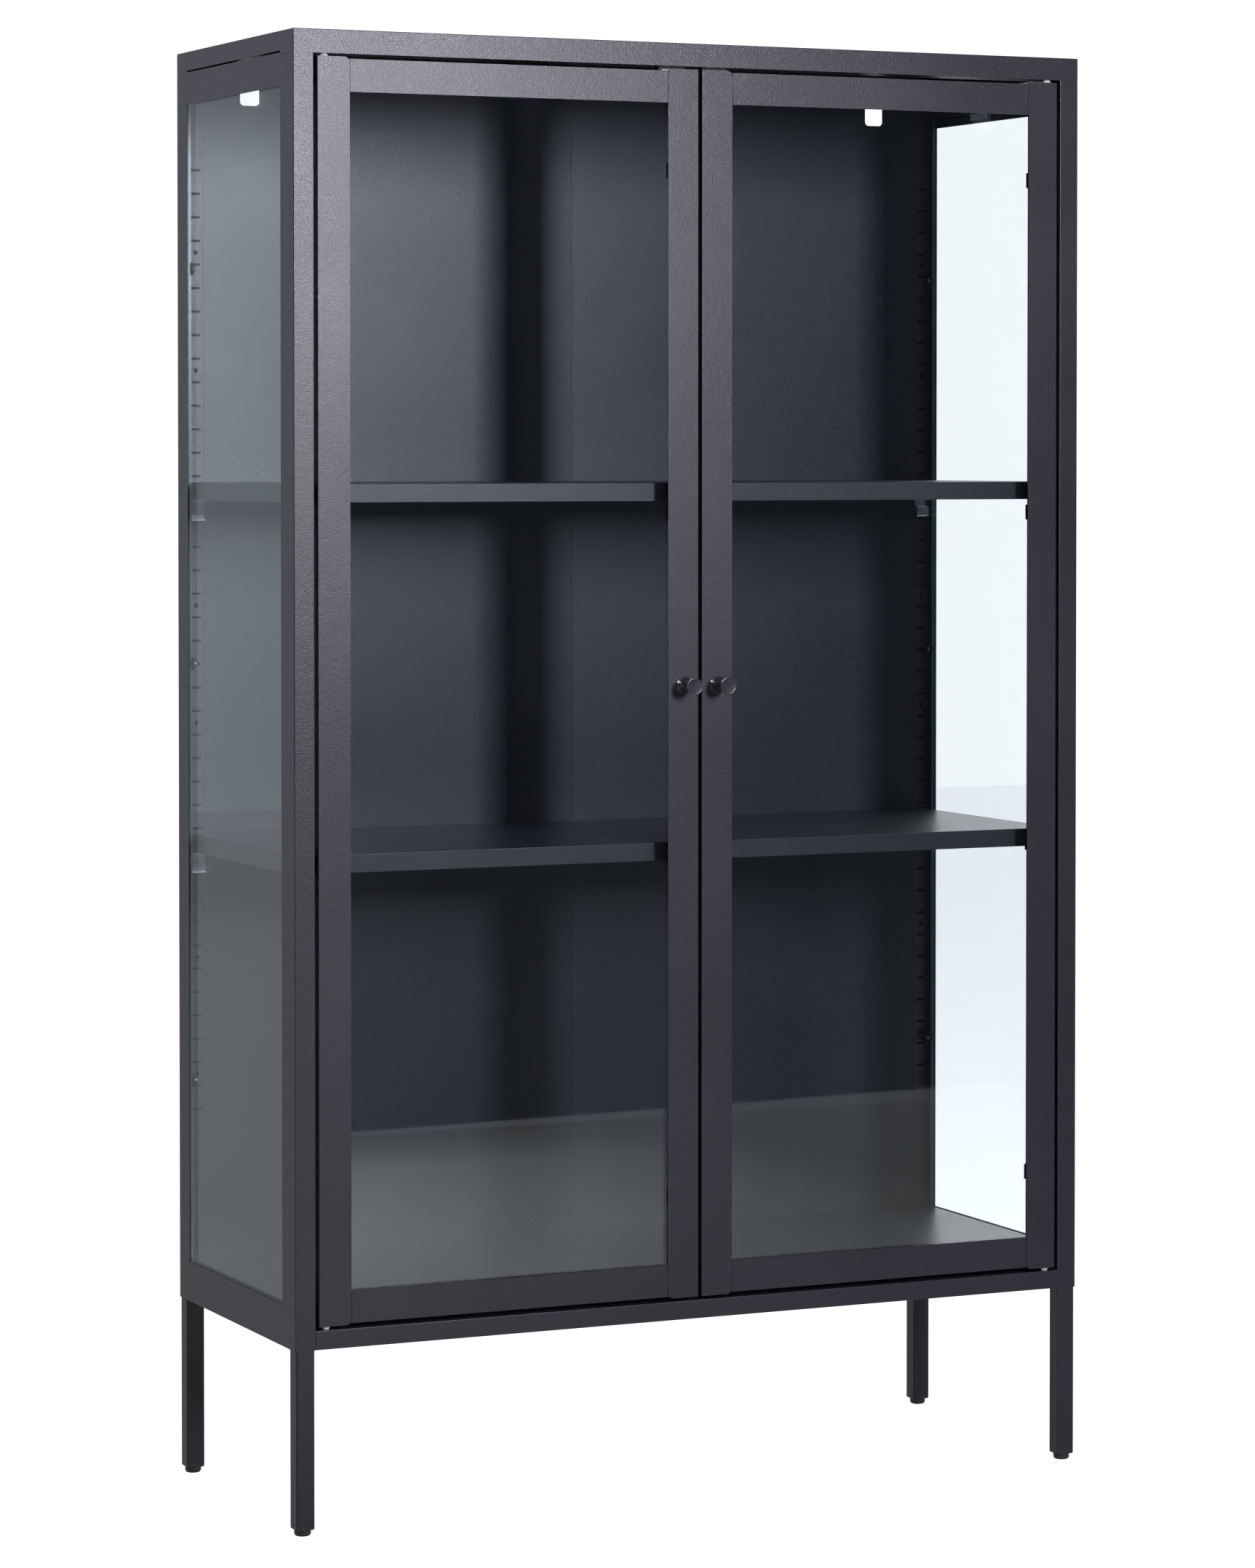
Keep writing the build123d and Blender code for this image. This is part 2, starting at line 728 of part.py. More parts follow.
def knob():
    """The left knob: a waisted spool turned about the screw's axis."""
    x, z = knob_place
    outline = Line((0, 0), (knob_base, 0))
    outline += Line((knob_base, 0), (knob_base, knob_base_rim))
    cap = knob_reach - knob_cap_rim
    waist = Spline((knob_base, knob_base_rim), (knob_neck, knob_waist), (knob_cap, cap))
    outline += waist
    outline += Line((knob_cap, cap), (knob_cap, knob_reach))
    outline += Line((knob_cap, knob_reach), (0, knob_reach))
    outline += Line((0, knob_reach), (0, 0))
    turned = revolve(make_face(outline), Axis.Y)
    turned = fillet(turned.edges().filter_by(GeomType.CIRCLE).group_by(Axis.Y)[-1], fold / 2)
    bore = rod(screw_radius + press_gap, (0, -sheet, 0), (0, knob_thread, 0))
    return Pos(x, front, z) * Rot(180, 0, 0) * (turned - bore)


def knob_screw():
    """The screw that holds the left knob, from inside the door."""
    x, z = knob_place
    return screw((x, door_back, z), (0, -1, 0), door_depth + knob_thread - 2 * sheet)


# ---- catches and bumpers ----

def door_catches():
    """Two magnetic catch bodies under the top panel, each with a pocket for its magnet."""
    low = door_back + strike_plate + magnet_gap + magnet_proud
    tall = (rim_foot - catch_height, rim_foot)
    length = (-catch_centre - catch_length / 2, -catch_centre + catch_length / 2)
    body = block(length, (low, low + catch_depth), tall)
    body = fillet(body.edges().filter_by(Axis.Z), fold)
    body -= magnet(press_gap)
    return Compound(children=[body, mirrored(body)])


def magnet(extra):
    """A catch's magnet, or its pocket when extra is the clearance round it."""
    low = door_back + strike_plate + magnet_gap
    z = rim_foot - catch_height / 2
    half = magnet_length / 2 + extra
    high = magnet_height / 2 + extra
    across = (-catch_centre - half, -catch_centre + half)
    return block(across, (low, low + magnet_height), (z - high, z + high))


def catch_magnets():
    piece = magnet(0)
    return Compound(children=[piece, mirrored(piece)])


def strike():
    """The steel plate on the left door that its magnet pulls."""
    low = door_right - door_frame + glass_lip + sheet
    z = rim_foot - catch_height / 2
    high = magnet_height / 2
    top = min(z + high, door_top - sheet)
    return block((low, door_right - 2 * sheet), (door_back, door_back + strike_plate), (z - high, top))


def door_bumpers():
    """Rubber dots on the riser that the closed doors rest against."""
    z = (door_bottom + floor_top) / 2
    dots = []
    for x in (door_left + bumper_inset, door_right - bumper_inset):
        dot = rod(bumper_radius, (x, door_back, z), (x, riser_face, z))
        dot = fillet(dot.faces().sort_by(Axis.Y)[0].edges(), bumper_round)
        dots += [dot, mirrored(dot)]
    return Compound(children=dots)


# ---- shelves ----

def shelf(slot):
    """A tray turned down all round, folded in again at the foot of its lips."""
    foot = slot_level(slot)
    top = foot + shelf_lip
    x = (left + shelf_side_gap, right - shelf_side_gap)
    y = (tube_back + shelf_front_gap, strip_face - shelf_back_gap)
    tray = block(x, y, (foot, top))
    tray = fillet(tray.edges().filter_by(Axis.Z), fold)
    tray = fillet(tray.faces().sort_by(Axis.Z)[-1].edges(), fold)
    tray -= block((x[0] + sheet, x[1] - sheet), (y[0] + sheet, y[1] - sheet), (foot, top - sheet))
    ring = block((x[0] + fold, x[1] - fold), (y[0] + fold, y[1] - fold), (foot, foot + sheet))
    ring -= block(
        (x[0] + shelf_fold, x[1] - shelf_fold),
        (y[0] + shelf_fold, y[1] - shelf_fold),
        (foot, foot + sheet),
    )
    return tray + ring


def shelf_clip(slot):
    """A bent clip on the front left post, hooked into one slot under the shelf."""
    x = left + slot_inset
    top = slot_level(slot)
    across = (x - ledge_width / 2, x + ledge_width / 2)
    low = top - clip_web
    clip = block(across, (tube_back, tube_back + ledge_reach), (top - ledge_sheet, top))
    clip += block(across, (tube_back, tube_back + ledge_sheet), (low, top))
    reach = tube_back + clip_plate_reach
    clip += block(across, (tube_back, reach), (low, low + ledge_sheet))
    clip += block(across, (reach - ledge_sheet, reach), (low, low + clip_plate))
    inside = tube_back - sheet - bush_gap
    hook = (x - hook_width / 2, x + hook_width / 2)
    clip += block(hook, (inside - ledge_sheet, tube_back), (top - ledge_sheet, top))
    return clip + block(hook, (inside - ledge_sheet, inside), (top - hook_drop, top))


def shelf_clips(slot):
    return Compound(children=list(corners(shelf_clip(slot)).values()))


# ---- the nodes ----

def left_and_right(name, piece):
    """A left-hand node and its mirrored partner."""
    return {name + "_left": piece, name + "_right": mirrored(piece)}


def door(side):
    """One door's nodes. The left door is built, and the right one mirrors it."""
    nodes = {
        "door_outer_stile": outer_stile(),
        "door_inner_stile": inner_stile(),
        "door_top_rail": door_top_rail(),
        "door_bottom_rail": door_bottom_rail(),
        "door_glass": door_glass(),
        "door_seal": door_seal(),
        "door_glass_tabs": door_glass_tabs(),
        "door_pins": door_pins(),
        "strike_plate": strike(),
        "knob": knob(),
        "knob_screw": knob_screw(),
    }
    if side == "right":
        nodes = {name: mirrored(piece) for name, piece in nodes.items()}
    return {side + "_" + name: piece for name, piece in nodes.items()}


def cabinet():
    nodes = {"top_panel": top_panel(), "floor_panel": floor_panel()}
    nodes |= left_and_right("front_post", front_post())
    nodes |= left_and_right("rear_post", rear_post())
    nodes |= left_and_right("side_top_rail", side_top_rail())
    nodes |= left_and_right("side_bottom_rail", side_bottom_rail())
    nodes |= left_and_right("side_glass", side_glass())
    nodes |= left_and_right("glass_clips", glass_clips())
    nodes["glass_clip_nuts"] = glass_clip_nuts()
    nodes["glass_top_pads"] = glass_top_pads()
    nodes |= left_and_right("back_panel", back_panel())
    nodes["back_screws"] = back_screws()
    nodes["seam_screws"] = seam_screws()
    nodes["body_screws"] = body_screws()
    nodes |= {"leg_" + place: piece for place, piece in corners(leg()).items()}
    nodes |= {"foot_" + place: piece for place, piece in corners(foot()).items()}
    nodes["leg_studs"] = leg_studs()
    nodes["pivot_bushes"] = pivot_bushes()
    nodes["door_catches"] = door_catches()
    nodes["catch_magnets"] = catch_magnets()
    nodes["door_bumpers"] = door_bumpers()
    nodes["upper_shelf"] = shelf(upper_shelf_slot)
    nodes["lower_shelf"] = shelf(lower_shelf_slot)
    nodes["upper_shelf_clips"] = shelf_clips(upper_shelf_slot)
    nodes["lower_shelf_clips"] = shelf_clips(lower_shelf_slot)
    nodes |= door("left")
    nodes |= door("right")
    return nodes


os.makedirs("parts", exist_ok=True)
for name, piece in cabinet().items():
    export_step(piece, "parts/" + name + ".step")
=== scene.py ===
import math
import bpy
import bmesh
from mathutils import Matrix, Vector


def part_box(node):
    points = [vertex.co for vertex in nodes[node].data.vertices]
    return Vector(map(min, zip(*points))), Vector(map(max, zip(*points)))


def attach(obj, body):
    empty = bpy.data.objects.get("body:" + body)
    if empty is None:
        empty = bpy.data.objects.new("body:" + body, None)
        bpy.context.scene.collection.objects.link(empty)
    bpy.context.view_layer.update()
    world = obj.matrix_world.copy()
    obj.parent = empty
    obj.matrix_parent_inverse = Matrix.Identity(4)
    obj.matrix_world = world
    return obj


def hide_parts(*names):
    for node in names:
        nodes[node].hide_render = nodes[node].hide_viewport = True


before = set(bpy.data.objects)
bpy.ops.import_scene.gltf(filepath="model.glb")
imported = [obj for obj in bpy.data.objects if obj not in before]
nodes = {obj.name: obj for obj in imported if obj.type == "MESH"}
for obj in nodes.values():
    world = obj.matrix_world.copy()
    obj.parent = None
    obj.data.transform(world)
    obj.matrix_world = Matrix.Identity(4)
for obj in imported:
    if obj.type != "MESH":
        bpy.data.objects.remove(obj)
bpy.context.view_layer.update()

scene = bpy.context.scene
print("frame loaded:", len(nodes), "parts")


# a wire is one shader socket, so that surface maths reads as plain expressions

class Wire:
    def __init__(self, sheet, socket):
        self.sheet = sheet
        self.socket = socket

    def maths(self, operation, first, second=0.0, clamp=False):
        settings = {"operation": operation, "use_clamp": clamp}
        return self.sheet.node("ShaderNodeMath", settings, {0: first, 1: second})

    def __add__(self, other):
        return self.maths("ADD", self, other)

    def __sub__(self, other):
        return self.maths("SUBTRACT", self, other)

    def __rsub__(self, other):
        return self.maths("SUBTRACT", other, self)

    def __mul__(self, other):
        return self.maths("MULTIPLY", self, other)

    def __truediv__(self, other):
        return self.maths("DIVIDE", self, other)

    def __rtruediv__(self, other):
        return self.maths("DIVIDE", other, self)

    def __pow__(self, other):
        return self.maths("POWER", self, other)

    def __lt__(self, other):
        return self.maths("LESS_THAN", self, other)

    def __gt__(self, other):
        return self.maths("GREATER_THAN", self, other)

    def __abs__(self):
        return self.maths("ABSOLUTE", self)

    __radd__ = __add__
    __rmul__ = __mul__

    def wave(self):
        return self.maths("SINE", self)

    def within(self):                      # held between 0 and 1
        return self.maths("ADD", self, clamp=True)

    def swing(self, share):                # a grain's rise and fall about its middle
        return (self - 0.5) * share


# a sheet is one material's or the world's nodes

class Sheet:
    def __init__(self, owner):
        owner.use_nodes = True
        self.tree = owner.node_tree
        self.tree.nodes.clear()

    def node(self, kind, settings=None, values=None, output=0):
        made = self.tree.nodes.new(kind)
        for name, value in (settings or {}).items():
            setattr(made, name, value)
        for name, value in (values or {}).items():
            if isinstance(value, Wire):
                self.tree.links.new(value.socket, made.inputs[name])
            else:
                made.inputs[name].default_value = value
        if len(made.outputs) == 0:
            return None
        return Wire(self, made.outputs[output])

    def place(self):
        return self.node("ShaderNodeTexCoord", output="Object")

    def facingOf(self):                    # which way the surface points, in the part's own frame
        return self.node("ShaderNodeTexCoord", output="Normal")

    def part(self, vector, axis):
        return self.node("ShaderNodeSeparateXYZ", values={0: vector}, output="XYZ".index(axis))

    def grain(self, size, detail=2.0, rough=0.5, stretch=(1, 1, 1)):
        scaled = self.node("ShaderNodeVectorMath", {"operation": "MULTIPLY"},
                           {0: self.place(), 1: stretch})
        values = {"Vector": scaled, "Scale": 1 / size, "Detail": detail, "Roughness": rough}
        return self.node("ShaderNodeTexNoise", values=values)

    def mix(self, low, high, share):
        return self.node("ShaderNodeMix", {"data_type": "RGBA"}, {0: share, 6: low, 7: high}, 2)

    def bump(self, height, deep, strength=1.0):
        values = {"Height": height, "Distance": deep, "Strength": strength}
        return self.node("ShaderNodeBump", values=values)

    def plain(self, values):
        return self.node("ShaderNodeBsdfPrincipled", values=values)

    def finish(self, shader, output="ShaderNodeOutputMaterial"):
        self.node(output, values={"Surface": shader})


def newFinish(name):
    material = bpy.data.materials.new(name)
    return material, Sheet(material)


def rgb(red, green, blue):
    return (red, green, blue, 1.0)


# powder coat: a baked matt skin with a fine orange-peel texture and a slow drift in tone

coat = {
    "speck": 0.0014,          # size of the skin's texture
    "peel": 0.0042,           # the slower ripple under it
    "cloud": 0.19,            # the drift in tone across a panel
    "speckTone": 3.0, "cloudTone": 0.9,
    "speckRough": 0.34, "cloudRough": 0.10,
    "speckShare": 0.7,        # of the relief; the peel has the rest
    "relief": 0.00027,
    "rough": 0.315,
    "roughInside": 0.345,     # the back and shelves are a little smoother in relief and duller
    "reliefInside": 0.00017,
}


def powderCoat(name, dark, light, rough=coat["rough"], relief=coat["relief"]):
    material, sheet = newFinish(name)
    speck = sheet.grain(coat["speck"], 3.0, 0.62)
    peel = sheet.grain(coat["peel"])
    cloud = sheet.grain(coat["cloud"])
    tone = speck.swing(coat["speckTone"]) + cloud.swing(coat["cloudTone"]) + 0.5
    skin = speck * coat["speckShare"] + peel * (1 - coat["speckShare"])
    sheet.finish(sheet.plain({
        "Base Color": sheet.mix(dark, light, tone.within()),
        "Roughness": speck.swing(coat["speckRough"]) + cloud.swing(coat["cloudRough"]) + rough,
        "Normal": sheet.bump(skin, relief),
    }))
    return material


def insideCoat(name, dark, light):
    return powderCoat(name, dark, light, coat["roughInside"], coat["reliefInside"])


carcassCoat = powderCoat("carcassPowderCoat", rgb(0.0150, 0.0132, 0.0190), rgb(0.0250, 0.0222, 0.0315))
doorCoat = powderCoat("doorPowderCoat", rgb(0.0156, 0.0134, 0.0192), rgb(0.0262, 0.0226, 0.0318))
shelfCoat = insideCoat("shelfPowderCoat", rgb(0.0125, 0.0138, 0.0188), rgb(0.0216, 0.0234, 0.0300))
backCoat = insideCoat("backPowderCoat", rgb(0.0100, 0.0115, 0.0155), rgb(0.0170, 0.0190, 0.0250))


# float glass: clear through the face, green through the cut edges, with a trace of polish haze

pane = {
    "clear": rgb(0.970, 0.988, 0.995),
    "edge": rgb(0.045, 0.125, 0.105),
    "gloss": rgb(0.93, 0.97, 0.98),
    "straightOn": 0.043,      # mirror share of one face, seen straight on
    "haze": 0.010,            # what polish leaves, in long wipes
    "wipe": 0.05, "wipeLong": 0.35,
    "edgeBody": 0.82,         # how solid a cut edge looks
    "edgeRough": 0.20, "wipeRough": 0.05, "rough": 0.012,
}


def floatGlass(name, across):                # across is the axis through the pane
    material, sheet = newFinish(name)
    edge = abs(sheet.part(sheet.facingOf(), across)) < 0.5
    slant = sheet.node("ShaderNodeLayerWeight", values={"Blend": 0.5}, output="Facing")
    mirror = slant ** 5.0 * (1 - pane["straightOn"]) + pane["straightOn"]
    wipe = sheet.grain(pane["wipe"], 3.0, 0.6, (1.0, 1.0, pane["wipeLong"])).swing(2.0).within()
    share = (mirror + wipe * pane["haze"] + edge * pane["edgeBody"]).within()
    body = sheet.plain({
        "Base Color": sheet.mix(pane["gloss"], pane["edge"], edge),
        "Metallic": 1 - edge,
        "Roughness": edge * pane["edgeRough"] + wipe * pane["wipeRough"] + pane["rough"],
    })
    through = sheet.node("ShaderNodeBsdfTransparent", values={"Color": pane["clear"]})
    sheet.finish(sheet.node("ShaderNodeMixShader", values={0: share, 1: through, 2: body}))
    return material


doorPane = floatGlass("doorFloatGlass", "Y")
sidePane = floatGlass("sideFloatGlass", "X")


# small metal and moulded parts

def platedSteel(name, colour, rough, grainSize, lay=(1, 1, 1)):
    material, sheet = newFinish(name)
    fine = sheet.grain(grainSize, 3.0, 0.6, lay)
    patch = sheet.grain(grainSize * 9)
    dull = tuple(value * 0.78 for value in colour[:3]) + (1.0,)
    sheet.finish(sheet.plain({
        "Base Color": sheet.mix(dull, colour, (patch.swing(2.0) + 0.6).within()),
        "Metallic": 1.0,
        "Roughness": fine.swing(0.22) + patch.swing(0.12) + rough,
        "Normal": sheet.bump(fine, 0.00004, 0.6),
    }))
    return material


def moulded(name, dark, light, rough, grainSize, relief, shine=0.5):
    material, sheet = newFinish(name)
    fine = sheet.grain(grainSize)
    flow = sheet.grain(grainSize * 14)
    sheet.finish(sheet.plain({
        "Base Color": sheet.mix(dark, light, (flow.swing(1.6) + fine.swing(0.8) + 0.5).within()),
        "Roughness": fine.swing(0.16) + flow.swing(0.10) + rough,
        "Specular IOR Level": shine,
        "Normal": sheet.bump(fine, relief, 0.5),
    }))
    return material


zinc = platedSteel("brightZinc", rgb(0.86, 0.88, 0.89), 0.21, 0.0012)
screwSteel = platedSteel("screwSteel", rgb(0.52, 0.52, 0.54), 0.34, 0.0006)
pinSteel = platedSteel("groundPinSteel", rgb(0.62, 0.62, 0.64), 0.22, 0.0004, (1, 1, 0.1))
magnetNickel = platedSteel("magnetNickel", rgb(0.26, 0.26, 0.27), 0.42, 0.0007)
# the strike plate is bright zinc plate; its dark colour here is painted shade, for the black it shows
# where it sits in shade
strikePaintedShade = platedSteel("strikePaintedShade", rgb(0.20, 0.20, 0.21), 0.48, 0.0010)
whiteNylon = moulded("whiteNylon", rgb(0.80, 0.80, 0.78), rgb(0.90, 0.90, 0.88), 0.42, 0.0008, 0.00003)
blackPlastic = moulded("blackPlastic", rgb(0.018, 0.018, 0.020), rgb(0.032, 0.032, 0.035),
                       0.42, 0.0007, 0.00005)
padPlastic = moulded("padPlastic", rgb(0.50, 0.58, 0.62), rgb(0.66, 0.73, 0.76), 0.36, 0.0010, 0.00004)
blackRubber = moulded("blackRubber", rgb(0.014, 0.014, 0.015), rgb(0.030, 0.030, 0.031),
                      0.66, 0.0006, 0.00006, 0.35)


lacquer = {
    "dark": rgb(0.060, 0.056, 0.064), "light": rgb(0.150, 0.141, 0.158),
    "fine": 0.0007, "wear": 0.006,
    "lines": 15000.0,         # turning lines, in radians to a metre along the knob
    "linesShare": 0.35,
    "metal": 0.85, "rough": 0.23, "relief": 0.00003,
}


def turnedLacquer():                       # lacquer over fine turning lines, round each knob's axis
    material, sheet = newFinish("turnedLacquer")
    lines = (sheet.part(sheet.place(), "Y") * lacquer["lines"]).wave()
    fine = sheet.grain(lacquer["fine"], 3.0, 0.6)
    wear = sheet.grain(lacquer["wear"])
    tone = (wear.swing(1.2) + fine.swing(2.2) + 0.5).within()
    skin = lines * lacquer["linesShare"] + fine * (1 - lacquer["linesShare"])
    sheet.finish(sheet.plain({
        "Base Color": sheet.mix(lacquer["dark"], lacquer["light"], tone),
        "Metallic": wear.swing(0.2) + lacquer["metal"],
        "Roughness": fine.swing(0.16) + lacquer["rough"],
        "Normal": sheet.bump(skin, lacquer["relief"], 0.6),
    }))
    return material


knobLacquer = turnedLacquer()


# which finish each carried-over part takes

def finishOf(name):
    rules = [
        (("door_glass_tabs",), doorCoat),
        (("door_glass",), doorPane),
        (("side_glass",), sidePane),
        (("glass_clip_nuts", "screw", "leg_studs"), screwSteel),
        (("glass_clips", "foot_", "door_catches"), blackPlastic),
        (("glass_top_pads",), padPlastic),
        (("door_seal", "door_bumpers"), blackRubber),
        (("door_pins",), pinSteel),
        (("catch_magnets",), magnetNickel),
        (("pivot_bushes",), whiteNylon),
        (("strike_plate",), strikePaintedShade),
        (("shelf_clips",), zinc),
        (("knob",), knobLacquer),
        (("back_panel",), backCoat),
        (("upper_shelf", "lower_shelf", "floor_panel"), shelfCoat),
        (("left_door", "right_door"), doorCoat),
    ]
    for words, finish in rules:
        if any(word in name for word in words):
            return finish
    return carcassCoat


for name, part in nodes.items():
    part.data.materials.clear()
    part.data.materials.append(finishOf(name))
print("finishes laid on")


# every new mesh is smooth, with its sharp corners kept, and wears one finish

def newPiece(name, shape, finish, body, stands):
    mesh = bpy.data.meshes.new(name)
    bmesh.ops.recalc_face_normals(shape, faces=shape.faces)
    shape.to_mesh(mesh)
    shape.free()
    mesh.shade_smooth()
    mesh.set_sharp_from_angle(angle=math.radians(38))
    mesh.materials.append(finish)
    piece = bpy.data.objects.new(name, mesh)
    scene.collection.objects.link(piece)
    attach(piece, body)
    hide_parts(stands)
    return piece


def softCorners(piece, width, segments=2):
    bevel = piece.modifiers.new("softCorners", "BEVEL")
    bevel.width = width
    bevel.segments = segments
    bevel.limit_method = "ANGLE"
    bevel.angle_limit = math.radians(40)
    bevel.harden_normals = True


# knobs: a turned spool, a foot that cones in to a neck close behind a flat cap

spool = {
    "turns": 96,
    # how far out from the door, and the radius there, in millimetres
    "outline": [
        (0.0, 8.90), (0.25, 9.25), (1.7, 9.30), (2.2, 9.10), (2.6, 8.75), (3.6, 8.15), (5.0, 7.40),
        (6.8, 6.60), (8.8, 5.95), (11.2, 5.42), (14.0, 5.08), (17.0, 4.92), (20.4, 4.90), (21.6, 5.15),
        (22.5, 5.80), (23.2, 6.90), (23.7, 7.90), (24.2, 8.55), (24.9, 8.88), (27.35, 8.90), (27.75, 8.78),
        (27.95, 8.50), (28.0, 8.15), (27.92, 7.85), (27.72, 7.70), (27.70, 7.30),
    ],
    # the cap's face, from its rim to its middle: how far out, and the radius as a share of the rim's
    "dish": [(27.62, 0.72), (27.58, 0.42), (27.56, 0.14)],
}


def turnedKnob(side):
    low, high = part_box(side + "_knob")
    middle = Vector(((low.x + high.x) / 2, high.y, (low.z + high.z) / 2))
    rim = spool["outline"][-1][1]
    lines = spool["outline"] + [(out, rim * share) for out, share in spool["dish"]]
    shape = bmesh.new()
    rings = []
    for out, radius in lines:
        ring = []
        for step in range(spool["turns"]):
            turn = 2 * math.pi * step / spool["turns"]
            away = Vector((math.cos(turn) * radius, -out, math.sin(turn) * radius)) / 1000
            ring.append(shape.verts.new(middle + away))
        rings.append(ring)
    for inner, outer in zip(rings, rings[1:]):
        for step in range(spool["turns"]):
            after = (step + 1) % spool["turns"]
            shape.faces.new((inner[step], inner[after], outer[after], outer[step]))
    shape.faces.new(rings[0])
    shape.faces.new(rings[-1])
    newPiece(side + "TurnedKnob", shape, knobLacquer, side + "_door", side + "_knob")


# shelf clips: a plated strip, hooked through a slot, folded down the post and up into a small shoe

clip = {
    "thick": 1.2, "bend": 1.3, "steps": 7,
    "hookWide": 8.6, "ledgeWide": 17.0, "shoeWide": 15.6,
    "hook": -4.0, "reach": 11.8, "web": 22.8, "shoe": 5.9, "shoeTall": 11.6,
    "roll": 1.6, "rollUp": 0.3,            # the shoe's top edge rolls back towards the post
    "hookDeep": 1.9, "hookRoot": 1.4,      # behind the post's face, and in front of it
    "ease": 0.00022,
}


def foldedLine(corners, bend, steps):      # a line through the corners, with each bend rounded
    line = [Vector(corners[0])]
    for before, here, after in zip(corners, corners[1:], corners[2:]):
        here = Vector(here)
        inward, outward = (Vector(before) - here), (Vector(after) - here)
        reach = min(bend, inward.length * 0.48, outward.length * 0.48)
        start, end = here + inward.normalized() * reach, here + outward.normalized() * reach
        for step in range(steps + 1):
            t = step / steps
            line.append(start * (1 - t) ** 2 + here * 2 * t * (1 - t) + end * t ** 2)
    line.append(Vector(corners[-1]))
    return line


def foldedStrip(shape, corners, wide, place, way):
    line = foldedLine(corners, clip["bend"], clip["steps"])
    long = sum((b - a).length for a, b in zip(line, line[1:]))
    rows, gone = [], 0.0
    for number, spot in enumerate(line):
        before, after = line[max(number - 1, 0)], line[min(number + 1, len(line) - 1)]
        if number:
            gone += (spot - line[number - 1]).length
        ahead = (after - before).normalized()
        out = Vector((-ahead.y, ahead.x)) * clip["thick"] / 2
        half = (wide[0] + (wide[1] - wide[0]) * gone / long) / 2
        row = []
        for across, side in ((-half, 1), (half, 1), (half, -1), (-half, -1)):
            away, up = spot + out * side
            row.append(shape.verts.new(Vector((place.x + across / 1000, place.y + way * away / 1000,
                                               place.z + up / 1000))))
        rows.append(row)
    for one, two in zip(rows, rows[1:]):
        for corner in range(4):
            after = (corner + 1) % 4
            shape.faces.new((one[corner], one[after], two[after], two[corner]))
    shape.faces.new(rows[0])
    shape.faces.new(rows[-1])


def shelfClips(level):
    low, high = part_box(level + "_shelf_clips")
    half = 8.0 / 1000                      # half of a clip's ledge
    behindFace = 2.5 / 1000                # the hook's back to the post's face
    skin = clip["thick"] / 2
    shape = bmesh.new()
    for x in (low.x + half, high.x - half):
        for y, way in ((low.y + behindFace, 1), (high.y - behindFace, -1)):
            spot = Vector((x, y, high.z))
            behind = -clip["hookDeep"]
            hook = [(behind, clip["hook"]), (behind, -skin), (clip["hookRoot"], -skin)]
            ledge = [(skin, -skin), (clip["reach"], -skin)]
            foldedStrip(shape, hook, (clip["hookWide"],) * 2, spot, way)
            foldedStrip(shape, ledge, (clip["ledgeWide"],) * 2, spot, way)
            foot = -clip["web"] + skin
            shoe = clip["shoe"] - skin
            top = foot + clip["shoeTall"] - skin
            foldedStrip(shape, [(skin, -skin), (skin, foot), (shoe, foot), (shoe, top),
                                (shoe - clip["roll"], top + clip["rollUp"])],
                        (clip["ledgeWide"], clip["shoeWide"]), spot, way)
    piece = newPiece(level + "ShelfClips", shape, zinc, "cabinet", level + "_shelf_clips")
    softCorners(piece, clip["ease"])


for side in ("left", "right"):
    turnedKnob(side)
for level in ("upper", "lower"):
    shelfClips(level)
print("knobs turned and clips folded")


# camera, room and light

eye = {
    "place": (-2.130, -4.621, 1.092), "tilt": 1.5, "turn": -24.74,
    "lens": 109.18, "shift": (-0.0047, -0.1324),
}

cameraData = bpy.data.cameras.new("camera")
cameraData.lens = eye["lens"]
cameraData.sensor_width = 36.0
cameraData.shift_x, cameraData.shift_y = eye["shift"]
cameraData.clip_end = 60.0
camera = bpy.data.objects.new("camera", cameraData)
camera.location = eye["place"]
camera.rotation_euler = (math.radians(90 - eye["tilt"]), 0, math.radians(eye["turn"]))
scene.collection.objects.link(camera)
scene.camera = camera

# two papers: the camera sees one, and the cabinet reflects and is lit by the other

floor = {
    "near": -2.75, "far": 9.0, "side": 7.0,
    "tilt": 4.0,              # the bounce paper's front edge isn't square to the doors
    "shownTone": 0.84, "bounceTone": 0.10, "toneSpread": 0.04,
    "tooth": 0.004,
    "shownGlow": rgb(0.72, 0.72, 0.72),
    # the bounce paper glows: a painted pool of light in front of the doors, and a dimmer painted glow
    # around it
    "paintedPoolGlow": rgb(1.65, 1.65, 1.68), "glowBeyondPaintedPool": rgb(0.30, 0.30, 0.31),
    "pool": (-0.25, -2.1, 0.0), "poolSize": 1.15, "poolEdge": 1.3, "softEdge": 0.35,
}


def paper(name, tilt, glow, tone):
    mesh = bpy.data.meshes.new(name)
    shape = bmesh.new()
    side, near, far = floor["side"], floor["near"], floor["far"]
    slope = side * math.tan(math.radians(tilt))
    spots = [(-side, near + slope), (side, near - slope), (side, far), (-side, far)]
    shape.faces.new([shape.verts.new((x, y, 0.0)) for x, y in spots])
    shape.to_mesh(mesh)
    shape.free()
    sheetOfPaper = bpy.data.objects.new(name, mesh)
    scene.collection.objects.link(sheetOfPaper)
    material, sheet = newFinish(name)
    tooth = sheet.grain(floor["tooth"], 3.0, 0.6)
    pale = tone + floor["toneSpread"]
    sheet.finish(sheet.plain({
        "Base Color": sheet.mix(rgb(tone, tone, tone), rgb(pale, pale, pale), tooth),
        "Roughness": 0.85,
        "Specular IOR Level": 0.1,
        "Emission Color": glow(sheet),
        "Emission Strength": 1.0,
        "Normal": sheet.bump(tooth, 0.0002, 0.3),
    }))
    mesh.materials.append(material)
    return sheetOfPaper


def shownGlow(sheet):
    return floor["shownGlow"]


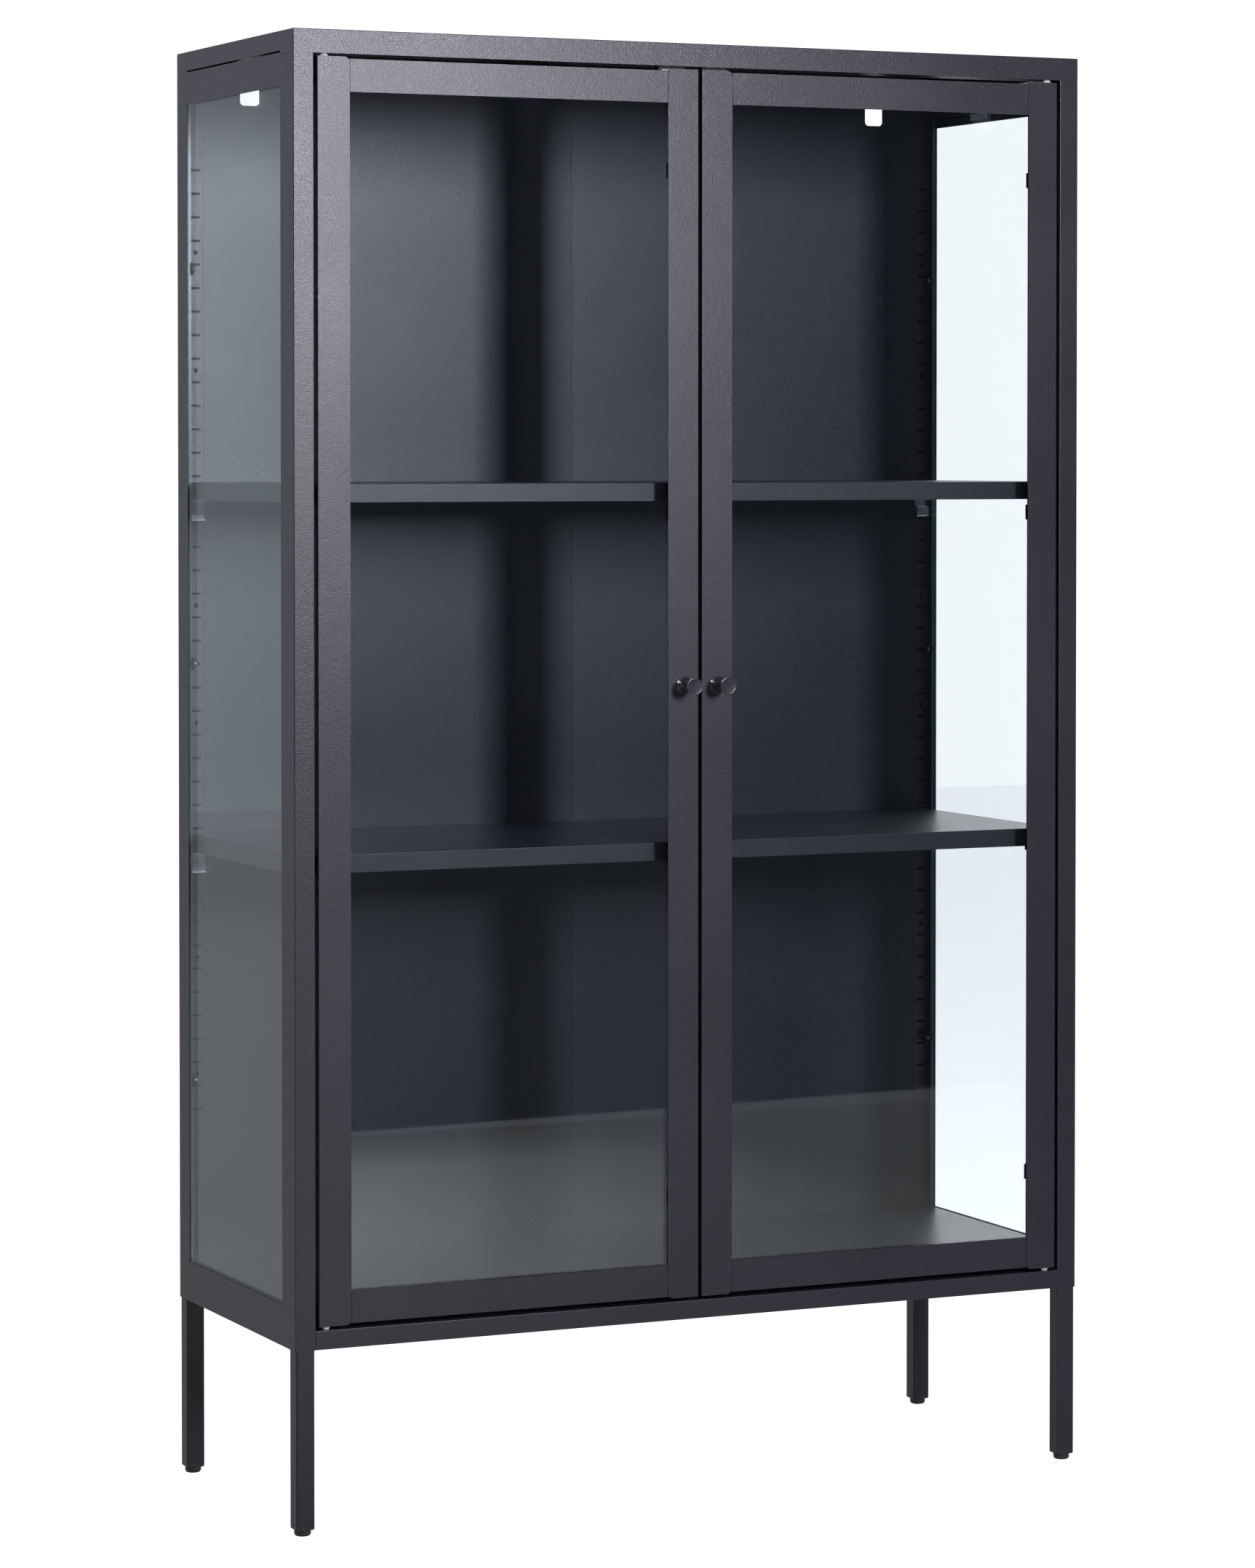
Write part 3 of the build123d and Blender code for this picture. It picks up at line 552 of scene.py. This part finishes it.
def bounceGlow(sheet):                     # a painted pool of light glowing on the bounce paper, standing in for the key's spill in front of the doors
    away = sheet.node("ShaderNodeVectorMath", {"operation": "DISTANCE"},
                      {0: sheet.place(), 1: floor["pool"]}, "Value")
    front = (sheet.part(sheet.place(), "Y") - floor["near"]) / floor["softEdge"]
    pool = (floor["poolEdge"] - away / floor["poolSize"]).within() * front.within()
    return sheet.mix(floor["glowBeyondPaintedPool"], floor["paintedPoolGlow"], pool)


def papers():
    shown = paper("shownPaper", 0.0, shownGlow, floor["shownTone"])
    shown.visible_diffuse = False
    shown.visible_glossy = False
    bounce = paper("bouncePaper", floor["tilt"], bounceGlow, floor["bounceTone"])
    bounce.visible_camera = False
    bounce.visible_shadow = False


# the world is plain white where it is seen, but it lights the cabinet from behind and above only

backdrop = {
    "seen": 1.24,
    "left": rgb(0.50, 0.50, 0.57), "right": rgb(2.1, 2.1, 2.1), "front": rgb(0.040, 0.045, 0.062),
    # each share rises over directions: how fast, and how much it has where the direction is 0
    "behindRise": 2.2, "behindAt": 0.05,
    "rightRise": 2.0, "rightAt": -0.2,
    "roofRise": 1.2, "roofAt": -0.25, "roofMost": 0.25,
    # a dark gap in the left of it, which the side pane mirrors
    "gapAcross": 0.42, "gapRise": 9.0, "gapAt": -0.6,
    "gapHigh": rgb(0.32, 0.35, 0.385), "gapLow": rgb(0.48, 0.52, 0.57), "gapSink": -7.0,
}

# place, what it is aimed at, size, power and colour
lamps = {
    "keyBox": ((0.54, -3.34, 1.75), (0.0, 0.0, 0.90), (0.42, 1.10), 88.0, (0.93, 0.94, 1.06)),
    "sideBox": ((-2.3, -0.35, 2.75), (0.0, 0.0, 0.90), (0.70, 0.90), 34.0, (0.95, 0.96, 1.10)),
    "topBox": ((0.2, 0.4, 4.2), (0.2, 0.4, 0.0), (3.2, 3.2), 40.0, (1.0, 1.0, 1.0)),
}


def skyLight(sheet):
    sky = backdrop
    way = sheet.node("ShaderNodeTexCoord", output="Generated")
    across, deep, up = (sheet.part(way, axis) for axis in "XYZ")
    right = (across * sky["rightRise"] + sky["rightAt"]).within()
    gap = 1 - (abs(across + sky["gapAcross"]) * sky["gapRise"] + sky["gapAt"]).within()
    dim = sheet.mix(sky["gapHigh"], sky["gapLow"], (up * sky["gapSink"]).within())
    white = sheet.mix(sheet.mix(sky["left"], sky["right"], right), dim, gap)
    behind = (deep * sky["behindRise"] + sky["behindAt"]).within()
    roof = (up * sky["roofRise"] + sky["roofAt"]).within() * sky["roofMost"]
    return sheet.mix(sky["front"], white, (behind + roof).within())


def studio():
    world = bpy.data.worlds.new("studio")
    scene.world = world
    sheet = Sheet(world)
    lit = sheet.node("ShaderNodeBackground", values={"Color": skyLight(sheet)})
    seen = sheet.node("ShaderNodeBackground", values={"Color": rgb(1, 1, 1), "Strength": backdrop["seen"]})
    direct = sheet.node("ShaderNodeLightPath", output="Is Camera Ray")
    sheet.finish(sheet.node("ShaderNodeMixShader", values={0: direct, 1: lit, 2: seen}),
                 "ShaderNodeOutputWorld")
    for name, (spot, aim, size, power, colour) in lamps.items():
        data = bpy.data.lights.new(name, "AREA")
        data.shape = "RECTANGLE"
        data.size, data.size_y = size
        data.energy = power
        data.color = colour
        lamp = bpy.data.objects.new(name, data)
        lamp.location = spot
        lamp.rotation_euler = (Vector(aim) - Vector(spot)).to_track_quat("-Z", "Y").to_euler()
        scene.collection.objects.link(lamp)


papers()
studio()
scene.view_settings.view_transform = "Standard"
scene.cycles.transparent_max_bounces = 24
print("camera, room and light set")
